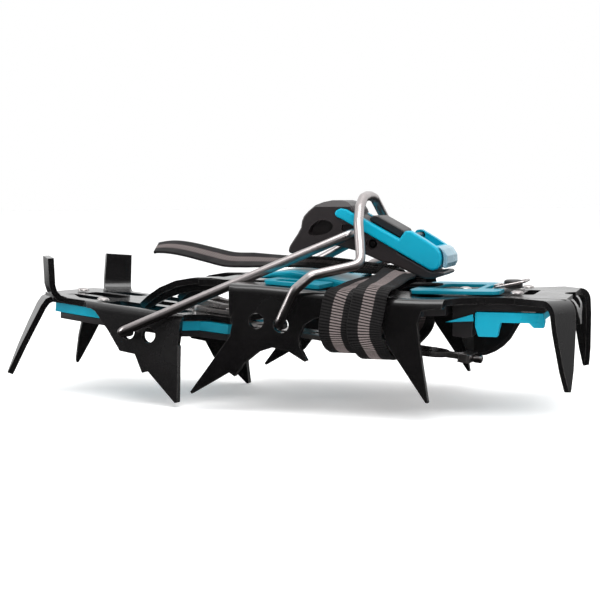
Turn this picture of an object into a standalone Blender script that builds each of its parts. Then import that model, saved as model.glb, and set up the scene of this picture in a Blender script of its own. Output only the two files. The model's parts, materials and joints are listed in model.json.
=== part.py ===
"""Crampon, packed: the heel section lies nested against the front section.

Lengths below are millimetres and M turns them into metres. X runs along the crampon, Z is up,
and the frames are symmetric about their own middle planes.
"""
import math

import bmesh
import bpy
from mathutils import Euler, Matrix, Vector

M = 0.001
SHEET = 2.5            # steel sheet of both frames
WIRE_R = 1.95          # bail and heel wire
GAP = 0.3              # between neighbouring pieces
HALF_W = 43.0          # front frame, half width over the side flanges
TOP_TOE, TOP_REAR = 42.0, 37.5   # plate top at the toe end and along the rear half
HOLE_C = (-13.7, 28.1)           # free bail hole
HOLE_D = (-3.8, 26.9)            # bail hole in use
HOLE_R = 3.0
FRONT_TIP_Y = 18.5     # front points, half spacing
HEEL_AT = (-79.0, -3.4, 31.4)    # heel plate, top middle
HEEL_YAW, HEEL_PITCH, HEEL_ROLL = -5.1, 5.5, -1.4
HEEL_HALF_W = 29.0
HOLE_A = (11.5, -9.6)            # heel wire hole, in the heel section's own frame
HOLE_B = (20.9, -9.7)
BAR_W, BAR_T, BAR_Z = 16.0, 2.0, -4.0
LEVER_PIVOT = (15.9, 60.3)
LEVER_HALF_W = 12.3
BAIL_TOP = 74.7
WEB_W, WEB_T = 13.2, 1.4         # webbing

for o in list(bpy.data.objects):
    bpy.data.objects.remove(o, do_unlink=True)

PARTS = bpy.data.collections.new("crampons")
CUTS = bpy.data.collections.new("cutters")
for c in (PARTS, CUTS):
    bpy.context.scene.collection.children.link(c)


def material(name, colour, metallic, rough):
    m = bpy.data.materials.new(name)
    m.use_nodes = True
    b = m.node_tree.nodes["Principled BSDF"]
    b.inputs["Base Color"].default_value = (*colour, 1)
    b.inputs["Metallic"].default_value = metallic
    b.inputs["Roughness"].default_value = rough
    m.diffuse_color = (*colour, 1)
    return m


def steel_black(n):
    return material(n, (0.025, 0.022, 0.026), 0.6, 0.35)


def stainless(n):
    return material(n, (0.55, 0.52, 0.51), 1.0, 0.28)


def turquoise(n):
    return material(n, (0.0, 0.36, 0.52), 0.0, 0.35)


def dark_plastic(n):
    return material(n, (0.03, 0.028, 0.03), 0.0, 0.5)


def web(n):
    return material(n, (0.012, 0.011, 0.012), 0.0, 0.9)


def pale(n):
    return material(n, (0.45, 0.5, 0.55), 0.0, 0.4)


def finish(bm, name, mat, cutter=False):
    bmesh.ops.remove_doubles(bm, verts=bm.verts, dist=1e-6)
    bmesh.ops.recalc_face_normals(bm, faces=bm.faces)
    me = bpy.data.meshes.new(name)
    bm.to_mesh(me)
    bm.free()
    return place(bpy.data.objects.new(name, me), mat, cutter)


def place(o, mat, cutter=False):
    """Puts an object in its collection, with its own material, smooth but for its sharp edges."""
    if cutter:
        CUTS.objects.link(o)
        o.hide_render = True
        o.display_type = "WIRE"
    else:
        PARTS.objects.link(o)
        o.data.materials.append(mat(o.name + "_finish"))
        if o.data.polygons:
            o.data.shade_smooth()
            o.data.set_sharp_from_angle(angle=math.radians(35))
    return o


def mesh_of(curve):
    """A curve's surface as a mesh; the curve itself isn't kept."""
    o = bpy.data.objects.new("curve", curve)
    bpy.context.scene.collection.objects.link(o)
    bpy.context.view_layer.update()
    me = bpy.data.meshes.new_from_object(o.evaluated_get(bpy.context.evaluated_depsgraph_get()))
    bpy.data.objects.remove(o, do_unlink=True)
    return me


def poly_spline(curve, pts, cyclic=False):
    sp = curve.splines.new("POLY")
    sp.points.add(len(pts) - 1)
    for pt, co in zip(sp.points, pts):
        pt.co = (*(Vector(co) * M), 1)
    sp.use_cyclic_u = cyclic


def add_prism(bm, poly, axis, lo, hi):
    """A flat outline as a filled 2D curve, extruded along Y or Z between lo and hi."""
    cu = bpy.data.curves.new("outline", "CURVE")
    cu.dimensions = "2D"
    cu.fill_mode = "BOTH"
    cu.extrude = (hi - lo) / 2 * M
    poly_spline(cu, [(a, b, 0) for a, b in poly], True)
    me = mesh_of(cu)
    flat = bmesh.new()
    flat.from_mesh(me)
    bmesh.ops.remove_doubles(flat, verts=flat.verts, dist=1e-6)
    bmesh.ops.dissolve_limit(flat, angle_limit=math.radians(0.1), verts=flat.verts,
                             edges=flat.edges)
    flat.to_mesh(me)
    flat.free()
    mid = (lo + hi) / 2 * M
    if axis == "y":
        me.transform(Matrix.Translation((0, mid, 0)) @ Matrix.Rotation(math.radians(90), 4, "X"))
    else:
        me.transform(Matrix.Translation((0, 0, mid)))
    bm.from_mesh(me)


def prisms(name, items, mat=None, cutter=False):
    bm = bmesh.new()
    for poly, axis, lo, hi in items:
        add_prism(bm, poly, axis, lo, hi)
    return finish(bm, name, mat, cutter)


def disc(a, b, r, n=20, rb=None):
    rb = r if rb is None else rb
    return [(a + r * math.cos(2 * math.pi * i / n), b + rb * math.sin(2 * math.pi * i / n))
            for i in range(n)]


def slot(x0, x1, y0, y1, r=2.0, n=4):
    """A rounded rectangle."""
    pts = []
    for cx, cy, a0 in ((x1 - r, y1 - r, 0), (x0 + r, y1 - r, 90),
                       (x0 + r, y0 + r, 180), (x1 - r, y0 + r, 270)):
        for i in range(n + 1):
            a = math.radians(a0 + 90 * i / n)
            pts.append((cx + r * math.cos(a), cy + r * math.sin(a)))
    return pts


def loft(bm, rings, closed_ends=True):
    vs = [[bm.verts.new(Vector(p) * M) for p in ring] for ring in rings]
    n = len(vs[0])
    for a, b in zip(vs, vs[1:]):
        for i in range(n):
            bm.faces.new((a[i], a[(i + 1) % n], b[(i + 1) % n], b[i]))
    if closed_ends:
        bm.faces.new(vs[0][::-1])
        bm.faces.new(vs[-1])


def strip_rings(pts, wdirs, widths, t):
    """Rectangular sections along a path: a bent flat strip."""
    out = []
    n = len(pts)
    for i, p in enumerate(pts):
        p = Vector(p)
        a = Vector(pts[max(i - 1, 0)])
        b = Vector(pts[min(i + 1, n - 1)])
        t1 = (p - a).normalized() if i else (b - p).normalized()
        t2 = (b - p).normalized() if i < n - 1 else t1
        tan = (t1 + t2).normalized()
        w = Vector(wdirs[i] if isinstance(wdirs[0], (tuple, list)) else wdirs).normalized()
        nor = tan.cross(w).normalized()
        stretch = 1 / max(t1.dot(tan), 0.5)
        w2, t3 = w * widths[i] / 2, nor * (t[i] if isinstance(t, list) else t) / 2 * stretch
        out.append([p - w2 - t3, p + w2 - t3, p + w2 + t3, p - w2 + t3])
    return out


def rounded_path(pts, r, n=5):
    """Corner points replaced by arcs of about radius r."""
    pts = [Vector(p) for p in pts]
    out = [pts[0]]
    for a, b, c in zip(pts, pts[1:], pts[2:]):
        u, v = (a - b), (c - b)
        ang = u.angle(v)
        d = min(r / math.tan(ang / 2), 0.45 * u.length, 0.45 * v.length)
        p, q = b + u.normalized() * d, b + v.normalized() * d
        for i in range(n + 1):
            k = i / n
            out.append((1 - k) ** 2 * p + 2 * k * (1 - k) * b + k * k * q)
    out.append(pts[-1])
    return out


def wire_piece(name, pts, r, mat, res=4):
    """A bent wire: a curve with a round bevel and closed ends."""
    cu = bpy.data.curves.new(name, "CURVE")
    cu.dimensions = "3D"
    cu.bevel_depth = r * M
    cu.bevel_resolution = res
    cu.use_fill_caps = True
    poly_spline(cu, pts)
    bm = bmesh.new()
    bm.from_mesh(mesh_of(cu))
    return finish(bm, name, mat)


def turned(name, profile, at, mat, axis="z", n=16):
    """A turned piece: its half profile, given upward, is spun down its outer side by a Screw."""
    bm = bmesh.new()
    pts = [(0, profile[-1][1])] + list(reversed(profile)) + [(0, profile[0][1])]
    vs = [bm.verts.new(Vector((r, 0, h)) * M) for r, h in pts]
    for a, b in zip(vs, vs[1:]):
        bm.edges.new((a, b))
    me = bpy.data.meshes.new(name)
    bm.to_mesh(me)
    bm.free()
    o = place(bpy.data.objects.new(name, me), mat)
    sc = o.modifiers.new("turn", "SCREW")
    sc.steps = sc.render_steps = n
    sc.use_merge_vertices = True
    sc.merge_threshold = 1e-5
    sc.use_smooth_shade = True
    o.location = Vector(at) * M
    o.rotation_euler = {"z": (0, 0, 0), "x": (0, math.radians(90), 0),
                        "y": (math.radians(-90), 0, 0)}[axis]
    return o


def boolean(o, cutter, op):
    m = o.modifiers.new(op.lower() + "_" + cutter.name, "BOOLEAN")
    m.solver = "EXACT"
    m.operation = op
    m.object = cutter
    return o


def bevel(o, w, seg=2, angle=35):
    m = o.modifiers.new("edges", "BEVEL")
    m.width = w * M
    m.segments = seg
    m.limit_method = "ANGLE"
    m.angle_limit = math.radians(angle)
    m.harden_normals = False
    return o


def top_z(x):
    """Top face of the front frame's plate: it rises toward the toe."""
    k = min(max((48 - x) / 78, 0), 1)
    return TOP_REAR + (TOP_TOE - TOP_REAR) * (k * k * (3 - 2 * k)) ** 0.9


def channel(name, xs, half_w, top, foot, foot_z, mat, r=3.0):
    """A folded sheet with a plate on top and two legs, its folds rounded."""
    bm = bmesh.new()
    rings = []
    for x in xs:
        z = top(x)
        outer, inner = [], []
        for s in (-1, 1):
            o_pts, i_pts = [(s * foot, foot_z)], [(s * (foot - SHEET), foot_z)]
            for i in range(5):
                a = math.radians(90 * i / 4)
                cy, cz = half_w - r, z - r
                o_pts.append((s * (cy + r * math.cos(a)), cz + r * math.sin(a)))
                ri = r - SHEET
                i_pts.append((s * (cy + ri * math.cos(a)), cz + ri * math.sin(a)))
            if s > 0:
                o_pts.reverse()
            else:
                i_pts.reverse()
            outer += o_pts
            inner.append(i_pts)
        ring = outer + inner[1] + inner[0]
        rings.append([(x, y, zz) for y, zz in ring])
    loft(bm, rings)
    return finish(bm, name, mat)


def slab(name, xs, half_w, top, z0, z1, mat):
    """A plate that follows the front frame's top, between two offsets from it."""
    bm = bmesh.new()
    loft(bm, [[(x, -half_w, top(x) + z0), (x, half_w, top(x) + z0),
               (x, half_w, top(x) + z1), (x, -half_w, top(x) + z1)] for x in xs])
    return finish(bm, name, mat)


def mirrored(poly):
    return [(x, -y) for x, y in poly]


def span(a, b, step):
    n = max(1, round((b - a) / step))
    return [a + (b - a) * i / n for i in range(n + 1)]


def both(poly):
    return [poly, mirrored(poly)]


# ---------------------------------------------------------------- front frame
front = channel("front_frame", span(-46, 50, 8) + [60, 99], HALF_W, top_z, HALF_W, -4, steel_black)
side = [(-50, 60), (-50, 30), (-23.4, 30), (-23.3, 27), (-24.4, 22.0), (-40.9, 0.2), (-40.3, -0.6),
        (-24.9, 8.3), (-22.6, 6.8), (-18.5, 12), (-13, 16.4), (-7.4, 18.3), (-1.5, 17.4),
        (5.4, 13.4), (6.3, 13.7), (3.4, 19), (3.2, 22.6), (5.2, 27.2), (8.7, 29.4), (14, 31),
        (28, 30.2), (35.0, 27), (37.1, 20.4), (51.1, 0.1), (52.0, 0.1), (48.8, 21.1),
        (47.9, 28.6), (49.4, 33.3), (54, 34.2), (99.5, 34.2), (99.5, 60)]
boolean(front, prisms("front_side_outline", [(side, "y", -60, 60)], cutter=True), "INTERSECT")

cuts = []
for poly in both([(-60, -21.4), (-32, -21.4), (-28, -18.8), (-16.6, -18.8), (-16.6, -28.5),
                  (-24.6, -30), (-24.6, -60), (-60, -60)]):
    cuts.append((poly, "z", 29, 70))
for poly in both([(56.5, -60), (56.5, -45), (58, -38), (62, -31), (68, -27.5), (82, -26.5),
                  (90, -27.5), (100, -30), (100, -60)]):
    cuts.append((poly, "z", 30, 70))
cuts.append(([(-48, -21.0), (-41, -21.0), (-41, 21.0), (-48, 21.0)], "z", 31, 65))
# window for the dome, notch between the front points, weight-saving slots
cuts.append((slot(-14.2, 25, -17.5, 17.5, 2.5), "z", 33, 60))
cuts.append((slot(-36, -26, -7, 7, 3.5), "z", 33, 60))
for poly in both(slot(-12, 3, -36, -25, 3)) + both(slot(8, 36, -37, -24, 5)) \
        + both(slot(61, 77, -21.5, -16.5, 2.4)) + both(slot(44, 54, -33, -23, 3)):
    cuts.append((poly, "z", 33, 60))
cuts.append((slot(32, 46, -11, 11, 4), "z", 33, 60))
cuts.append((slot(80.6, 85.2, -12, 12, 2.2), "z", 33, 60))
cuts.append((disc(*HOLE_C, HOLE_R), "y", -50, 50))
cuts.append((disc(*HOLE_D, HOLE_R), "y", -49, 49))
boolean(front, prisms("front_openings", cuts, cutter=True), "DIFFERENCE")

bm = bmesh.new()
for s in (-1, 1):
    # rear points, bent down out of the plate's corners
    u = Vector((math.cos(math.radians(40)), s * math.sin(math.radians(40)), 0))
    wd = Vector((-u.y, u.x, 0))
    start = Vector((95.2, s * 31.6, TOP_REAR - SHEET / 2 - 0.02))
    pts = [start - u * 14, start - u * 6, start]
    widths = [13, 12.5, 11.5]
    for i in range(1, 6):
        a = math.radians(84 * i / 5)
        pts.append(start + u * 4.2 * math.sin(a) - Vector((0, 0, 4.2 * (1 - math.cos(a)))))
        widths.append(11.5 - 0.3 * i)
    d = (u * math.sin(math.radians(6)) - Vector((0, 0, math.cos(math.radians(6))))).normalized()
    base = pts[-1]
    for k, wdt in ((6, 9.2), (13, 7.0), (20, 4.8), (26.2, 1.6), (27.4, 0.7)):
        pts.append(base + d * k)
        widths.append(wdt)
    loft(bm, strip_rings(pts, wd, widths, SHEET - 0.05))
    # front points: arched strips with a rib below
    arc = [(-27, 40.2), (-33, 40.5), (-41, 41.3), (-49, 41.2), (-56, 40.0), (-63, 37.2),
           (-68.5, 33.6), (-72.2, 30.6)]
    ys = [15.5, 16, 16.6, 17.2, 17.7, 18.1, 18.4, 18.5]
    wid = [9, 9, 8.4, 7.6, 6.8, 5.6, 4.2, 2.2]
    loft(bm, strip_rings([(x, s * y, z) for (x, z), y in zip(arc, ys)], (0, 1, 0), wid, SHEET))
rib = bmesh.new()
for s in (-1, 1):
    arc2 = [(-30, 39.2), (-41, 39.6), (-49, 39.4), (-56, 38.2), (-62.4, 35.6), (-67.2, 32.4),
            (-70.4, 29.9)]
    ys2 = [15.7, 16.6, 17.2, 17.7, 18.1, 18.4, 18.5]
    hh = [2.4, 3.6, 4.2, 4.2, 3.8, 2.8, 1.6]
    loft(rib, strip_rings([(x, s * y, z - 0.3) for (x, z), y in zip(arc2, ys2)], (0, 1, 0),
                          [2.2] * 7, hh))
# end tab between the rear points: bends down round the oval opening into a small tongue
tab = [(86, 0), (92, 0), (95.0, 0)]
pts = [(x, 0, TOP_REAR - SHEET / 2 - 0.03) for x, _ in tab]
widths = [30, 29, 27]
for i in range(1, 6):
    a = math.radians(88 * i / 5)
    pts.append((95 + 5 * math.sin(a), 0, TOP_REAR - SHEET / 2 - 0.03 - 5 * (1 - math.cos(a))))
    widths.append(27 - 1.6 * i)
pts += [(100.1, 0, 29.6), (100.3, 0, 28.0), (100.5, 0, 25.8)]
widths += [12, 7, 5]
loft(bm, strip_rings(pts, (0, 1, 0), widths, SHEET - 0.08))
boolean(front, finish(bm, "front_points", None, True), "UNION")
boolean(front, finish(rib, "front_point_ribs", None, True), "UNION")
oval = prisms("front_end_opening", [(disc(0, 0, 6.5, 20, 4.0), "z", -12, 12)], cutter=True)
oval.location = Vector((99.2, 0, 35.6)) * M
oval.rotation_euler = Euler((0, math.radians(45), math.radians(0)))
for v in oval.data.vertices:
    v.co = Vector((v.co.y * 1.0, v.co.x, v.co.z))
oval.data.flip_normals()
boolean(front, oval, "DIFFERENCE")

# ------------------------------------------------- anti-balling, front section
dome = prisms("front_dome", [([(-13.7, 34.6), (-13.7, 42.2), (-23, 42.4), (-17, 44.9), (-9, 45.6), (2, 43.8),
                               (14, 41.4), (24.4, 39.3), (24.4, 34.6)], "y", -16.4, 16.4)], turquoise)
bevel(dome, 1.6, 3, 30)

base = slab("front_antiball", span(-22, 56, 8), 39.8, top_z, -SHEET - 4.2, -SHEET - GAP, dark_plastic)
cut = [(slot(-14.4, 25, -17.0, 17.0, 2), "z", 20, 60)]
for poly in both([(-30, -30), (-16, -45), (-30, -45)]) \
        + both([(46, -60), (49, -36), (60, -28), (60, -60)]):
    cut.append((poly, "z", 20, 60))
cut += [(p, "z", 20, 60) for p in both(slot(10, 34, -35, -26, 3))]
boolean(base, prisms("front_antiball_cuts", cut, cutter=True), "DIFFERENCE")

for sign, side_name in ((-1, "near"), (1, "far")):
    pad = slab("front_top_pad_" + side_name, span(-13.4, 9.6, 6), 38.2, top_z, GAP, 1.7, turquoise)
    cut = [([(-40, -60 * sign), (40, -60 * sign), (40, 19.2 * sign), (-40, 19.2 * sign)],
            "z", 20, 60),
           ([(-25, 34 * sign), (-13.0, 34 * sign), (-9, 45 * sign), (-25, 45 * sign)], "z", 20, 60),
           ([(x, y * sign) for x, y in slot(-9.6, 4, 26, 34.6, 2.5)], "z", 20, 60)]
    boolean(pad, prisms("front_pad_cuts_" + side_name, cut, cutter=True), "DIFFERENCE")

rear_z = TOP_REAR
pad2 = prisms("rear_top_pad", [([(40, -20), (42, -26), (60, -25.6), (72, -24), (74, -21), (74, 21),
                                 (72, 24), (60, 25.6), (42, 26), (40, 20)],
                                "z", rear_z + 0.55, rear_z + 1.9)], turquoise)
boolean(pad2, prisms("rear_top_pad_cuts", [(slot(30, 80, -14.4, 14.4, 3), "z", 30, 37.9),
                                           (slot(47, 64, -13, 13, 3), "z", 38.0, 50),
                                           (slot(66.2, 82, -9, 9, 2), "z", 38.0, 50)],
                     cutter=True), "DIFFERENCE")

skirt = prisms("rear_antiball", [
    ([(57.2, 22.6), (57.2, 34.6), (91.0, 34.6), (91.0, 32.2), (66, 32.2), (65.2, 31), (64.6, 26),
      (64.6, 22.6), (62, 22.0)], "y", -24.5, 24.5)], dark_plastic)
boolean(skirt, prisms("rear_antiball_cuts", [(slot(60, 88, -3, 16, 3), "z", 10, 60)], cutter=True),
        "DIFFERENCE")
inlay = prisms("rear_antiball_inlay", [
    ([(65.6, 31.3), (66.2, 31.85), (90.6, 31.85), (91, 28.6), (90.6, 26.4), (87, 26.4), (85.4, 28.1),
      (75.0, 28.1), (73.8, 22.7), (66.8, 22.7), (65.6, 26.5)], "y", -25.0, 25.0)], turquoise)
boolean(inlay, prisms("rear_inlay_cuts", [(slot(60, 99, -21, 21, 3), "z", 10, 60)], cutter=True),
        "DIFFERENCE")
# one body: a bridge stays at the rear end
bridge = prisms("rear_inlay_bridge", [([(86.5, 28.6), (86.5, 31.5), (90.2, 31.5), (90.2, 28.6)],
                                       "y", -23, 23)], cutter=True)
boolean(inlay, bridge, "UNION")
wedges = {}
for s, n in ((-1, "near"), (1, "far")):
    lo, hi = sorted((s * 24.8, s * 25.6))
    wedges[n] = prisms("rear_wedge_" + n, [([(54.6, 27.8), (64.9, 31.0), (65.2, 28.4)],
                                            "y", lo, hi)], turquoise)

bell = bmesh.new()
rings = []
for x, zl, hy in ((55.2, 17.2, 1.2), (57.4, 12.9, 4.5), (60.3, 11.8, 6.3), (61.0, 11.6, 6.8),
                  (65, 12.0, 8), (68.3, 13.4, 8), (71.5, 15.6, 7.5), (74.1, 18.3, 6.5),
                  (77.8, 24.6, 4.5)):
    zt = {55.2: 19.5, 57.4: 20.6, 60.3: 21.2}.get(x, 33.6)
    cy = 6.2
    rings.append([(x, cy - hy, zl + 2.0), (x, cy - hy * 0.6, zl + 0.4), (x, cy, zl),
                  (x, cy + hy * 0.6, zl + 0.4), (x, cy + hy, zl + 2.0), (x, cy + hy, zt),
                  (x, cy - hy, zt)])
loft(bell, rings)
bellows = finish(bell, "antiball_bellows", dark_plastic)

# ---------------------------------------------------------------- toe bail
half = [(HOLE_D[0], -39.0, HOLE_D[1]), (HOLE_D[0], -46.2, HOLE_D[1]), (2.6, -46.2, 40.2),
        (8.5, -43.4, 45.6), (24.0, -31.0, 49.2), (20.2, -21.5, 64.6), (18.9, -15, 70.2),
        (18.6, -8.6, 73.9), (18.5, -2.5, BAIL_TOP)]
path = half + [(x, -y, z) for x, y, z in reversed(half)]
bail = wire_piece("toe_bail", rounded_path(path, 5.5, 4), WIRE_R, stainless)

# ---------------------------------------------------------------- heel section
HEEL = (Matrix.Translation(Vector(HEEL_AT))
        @ Euler((math.radians(HEEL_ROLL), math.radians(HEEL_PITCH), math.radians(HEEL_YAW)),
                "XYZ").to_matrix().to_4x4())
heel_parts = []


def flat0(_x):
    return 0.0


heel = channel("heel_frame", [-37, -20, 0, 20, 34, 49], HEEL_HALF_W, flat0, HEEL_HALF_W + 5.0,
               -38, steel_black)
hside = [(-41, 20), (-41, -2.6), (-7.5, -2.6), (-5, -3.5), (2.5, -10.5), (9, -17.5), (16, -17.8),
         (20.5, -24.6), (23, -23.6), (36.9, -33.9), (37.9, -33.6), (34.6, -12), (33.8, -2.6),
         (53, -2.6), (53, 20)]
boolean(heel, prisms("heel_side_outline", [(hside, "y", -60, 60)], cutter=True), "INTERSECT")
cuts = []
for poly in both([(-50, -60), (-7.6, -60), (-7.8, -30), (-12, -26.6), (-27, -26.6), (-37.2, -18),
                  (-50, -18)]) + both([(34.2, -60), (34.2, -27), (37, -19), (40, -15.5),
                                       (60, -15.5), (60, -60)]):
    cuts.append((poly, "z", -12, 20))
for poly in both(slot(-3.5, 31, -25.4, -11.5, 3)) + both(slot(-28, -9, -20.5, -10.5, 3)):
    cuts.append((poly, "z", -5, 10))
cuts.append((slot(-27, -9, -6, 6, 3), "z", -5, 10))
cuts.append((slot(3, 17, -6, 6, 3), "z", -5, 10))
cuts.append((disc(*HOLE_A, HOLE_R), "y", -50, 50))
cuts.append((disc(*HOLE_B, HOLE_R), "y", -49, 49))
boolean(heel, prisms("heel_openings", cuts, cutter=True), "DIFFERENCE")
bm = bmesh.new()
for s in (-1, 1):
    wd = Vector((1, s * 1.0, 0)).normalized()
    # rear points
    pts = [(-28.5, s * 14.5, -1.27), (-31.2, s * 17.2, -1.27), (-33.2, s * 19.2, -1.6),
           (-34.9, s * 20.8, -2.9), (-36.0, s * 21.8, -5.4), (-39.4, s * 22.8, -14),
           (-42.8, s * 23.8, -23), (-46.4, s * 24.8, -33.6), (-47.1, s * 25.0, -35.6)]
    loft(bm, strip_rings(pts, wd, [11, 11, 11, 10.6, 10.2, 8.6, 6.2, 2.0, 0.8], SHEET - 0.06))
up = bmesh.new()
for s in (-1, 1):
    wd = Vector((1, s * 1.0, 0)).normalized()
    # heel posts
    pts = [(-21.5, s * 17.6, -1.24), (-25.2, s * 21.4, -1.24), (-27.4, s * 23.7, -0.5),
           (-28.9, s * 25.3, 1.6), (-29.6, s * 26.1, 4.4), (-30.6, s * 27.1, 15.6)]
    loft(up, strip_rings(pts, wd, [12, 12, 12, 12, 12, 11.4], SHEET - 0.04))
boolean(heel, finish(bm, "heel_rear_points", None, True), "UNION")
boolean(heel, finish(up, "heel_posts", None, True), "UNION")
heel_parts += [heel] + [o for o in CUTS.objects if o.name.startswith("heel_")]

# anti-balling of the heel section, with the bar's channel
ab = prisms("heel_antiball_top", [([(-33.5, -15), (-27, -24.6), (-10, -26), (33, -26), (37, -18),
                                    (49, -17), (49, 17), (37, 18), (33, 26), (-10, 26),
                                    (-27, 24.6), (-33.5, 15)], "z", -6.5, -SHEET - GAP)], turquoise)
hc = prisms("heel_antiball_channel", [(slot(-30, 60, -9, 9, 1.5), "z", -5.2, 0)], cutter=True)
boolean(ab, hc, "DIFFERENCE")
ab2 = prisms("heel_antiball_base", [([(-31.5, -14), (-25, -23.4), (-10, -25), (31, -25), (36, -17.5),
                                      (48, -16), (48, 16), (36, 17.5), (31, 25), (-10, 25),
                                      (-25, 23.4), (-31.5, 14)], "z", -9.3, -6.8)], dark_plastic)
bc = prisms("heel_base_cuts", [(slot(-22, -8, -14, 14, 3), "z", -20, 0),
                               (slot(0, 26, -16, 16, 4), "z", -20, 0)], cutter=True)
boolean(ab2, bc, "DIFFERENCE")
heel_parts += [ab, ab2, hc, bc]

# linking bar
zb0, zb1 = BAR_Z - BAR_T / 2, BAR_Z + BAR_T / 2
outline = [(-22, -7), (-21, -8), (128, -8), (131.5, -7), (133.4, -4.6), (134.2, -2.6), (139.2, -2.6),
           (139.2, 2.6), (134.2, 2.6), (133.4, 4.6), (131.5, 7), (128, 8), (-21, 8), (-22, 7)]
bar = prisms("linking_bar", [(outline, "z", zb0, zb1)], stainless)
holes = [(disc(x, 0, 2.6, 12), "z", -10, 5) for x in range(24, 128, 8)]
hb = prisms("bar_holes", holes, cutter=True)
boolean(bar, hb, "DIFFERENCE")
tee = prisms("bar_tee_end", [(slot(139.6, 144.2, -6.5, 6.5, 1.2), "z", BAR_Z - 1.6, BAR_Z + 1.6)],
             stainless)
screw = turned("bar_end_screw", [(0.9, 144.5), (1.7, 144.6), (1.7, 147.2), (1.2, 147.7)],
               (0, 0, BAR_Z), stainless, "x", 14)
heel_parts += [bar, hb, tee, screw]

# lock on top of the heel plate
lock_base = prisms("lock_base", [(slot(29, 47.5, -10.5, 10.5, 2), "z", GAP, 1.9)], stainless)
lb = prisms("lock_base_cut", [(slot(31.5, 41, -6, 6, 1.5), "z", -2, 6)], cutter=True)
boolean(lock_base, lb, "DIFFERENCE")
lock = prisms("lock_lever", [([(30.2, 2.3), (29.4, 3.4), (30.6, 5.2), (34, 4.6), (42, 3.9),
                               (46.0, 4.3), (46.8, 3.2), (46.0, 2.3)], "y", -8.4, 8.4)], stainless)
lc = prisms("lock_lever_cut", [(slot(33, 41.5, -4.6, 4.6, 1.5), "z", -2, 9)], cutter=True)
boolean(lock, lc, "DIFFERENCE")
tongue = prisms("lock_button", [(slot(34.2, 40.2, -3.6, 3.6, 1.2), "z", 0.3, 3.3)], dark_plastic)
heel_parts += [lock_base, lb, lock, lc, tongue]
head = [(1.6, 0.0), (2.6, 0.15), (2.3, 0.9), (1.2, 1.3)]
for i, (x, y) in enumerate(((-30.2, 0), (-6.4, 21.4), (-6.4, -21.4), (22.6, 0))):
    r = turned("heel_rivet_%d" % (i + 1), head, (x, y, GAP), stainless, n=14)
    heel_parts.append(r)
for i, (x, y) in enumerate(((44.6, -9.3), (44.6, 9.3))):
    r = turned("lock_rivet_%d" % (i + 1), [(0.5, 0), (0.9, 0.1), (0.8, 0.6), (0.4, 0.8)],
               (x, y, 2.2), stainless, n=10)
    heel_parts.append(r)
section = bpy.data.objects.new("heel_section", None)
PARTS.objects.link(section)
section.location = HEEL.to_translation() * M
section.rotation_euler = HEEL.to_euler()
for o in heel_parts:
    o.parent = section


def heel_point(x, y, z):
    return HEEL @ Vector((x, y, z))


# heel wire: both ends hook into the flanges, its cross part runs through the lever
px, pz = LEVER_PIVOT
near = [heel_point(HOLE_A[0], -27.2, HOLE_A[1]), heel_point(HOLE_A[0], -37.8, HOLE_A[1]),
        Vector((px, -14.9, pz))]
far = [heel_point(HOLE_A[0], 27.2, HOLE_A[1]), heel_point(HOLE_A[0], 37.8, HOLE_A[1]),
       Vector((px, 14.9, pz))]
wire = wire_piece("heel_wire", rounded_path(near + far[::-1], 4.2, 4), WIRE_R, stainless)

# ---------------------------------------------------------------- heel lever
LW = 11.0
body_poly = [(-11.8, 52.8), (-11.2, 55.0), (-9.6, 57.4), (-7.9, 59.8), (-6.4, 62.4), (-6.0, 65.0),
             (-5.2, 66.9), (-3.3, 68.9), (-0.4, 71.2), (2.5, 72.4), (6.0, 73.1), (9.6, 73.1),
             (12.4, 72.4), (14.3, 71.0), (15.3, 69.4), (16.1, 67.2), (33.0, 57.9), (33.0, 52.7),
             (45.3, 45.95), (46.9, 45.4), (48.8, 45.7), (51.0, 45.6), (51.2, 44.4), (48.8, 43.4),
             (46.9, 42.8), (43.8, 42.7), (39.9, 44.2), (33.9, 46.9), (30.0, 48.6), (26.8, 49.1),
             (20.4, 51.8), (15.9, 53.4), (9.8, 55.0), (3.7, 55.9), (-2.1, 55.0), (-5.5, 53.6),
             (-8.0, 52.3), (-10.6, 52.0)]
band = [(7.8, 67.7), (8.4, 69.0), (10.2, 69.9), (12.7, 69.5), (15.1, 68.1), (33.8, 57.9),
        (36.2, 61.2), (38.2, 61.2), (44.0, 57.8), (48.4, 54.9), (49.8, 53.0), (50.3, 50.6),
        (49.9, 48.3), (48.7, 46.6), (46.8, 46.1), (45.2, 46.6), (34.2, 52.7), (22.3, 59.4),
        (10.2, 66.0), (8.6, 66.6)]
lever = prisms("lever_body", [(body_poly, "y", -LW, LW)], dark_plastic)
bevel(lever, 1.6, 2, 40)


def grown(poly, d):
    cx = sum(p[0] for p in poly) / len(poly)
    out = []
    n = len(poly)
    for i, p in enumerate(poly):
        a, b = Vector(poly[i - 1]), Vector(poly[(i + 1) % n])
        t = (b - a).normalized()
        out.append((p[0] + t.y * d, p[1] - t.x * d))
    area = sum(poly[i - 1][0] * poly[i][1] - poly[i][0] * poly[i - 1][1] for i in range(n))
    return out if area > 0 else grown(poly[::-1], d)


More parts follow.
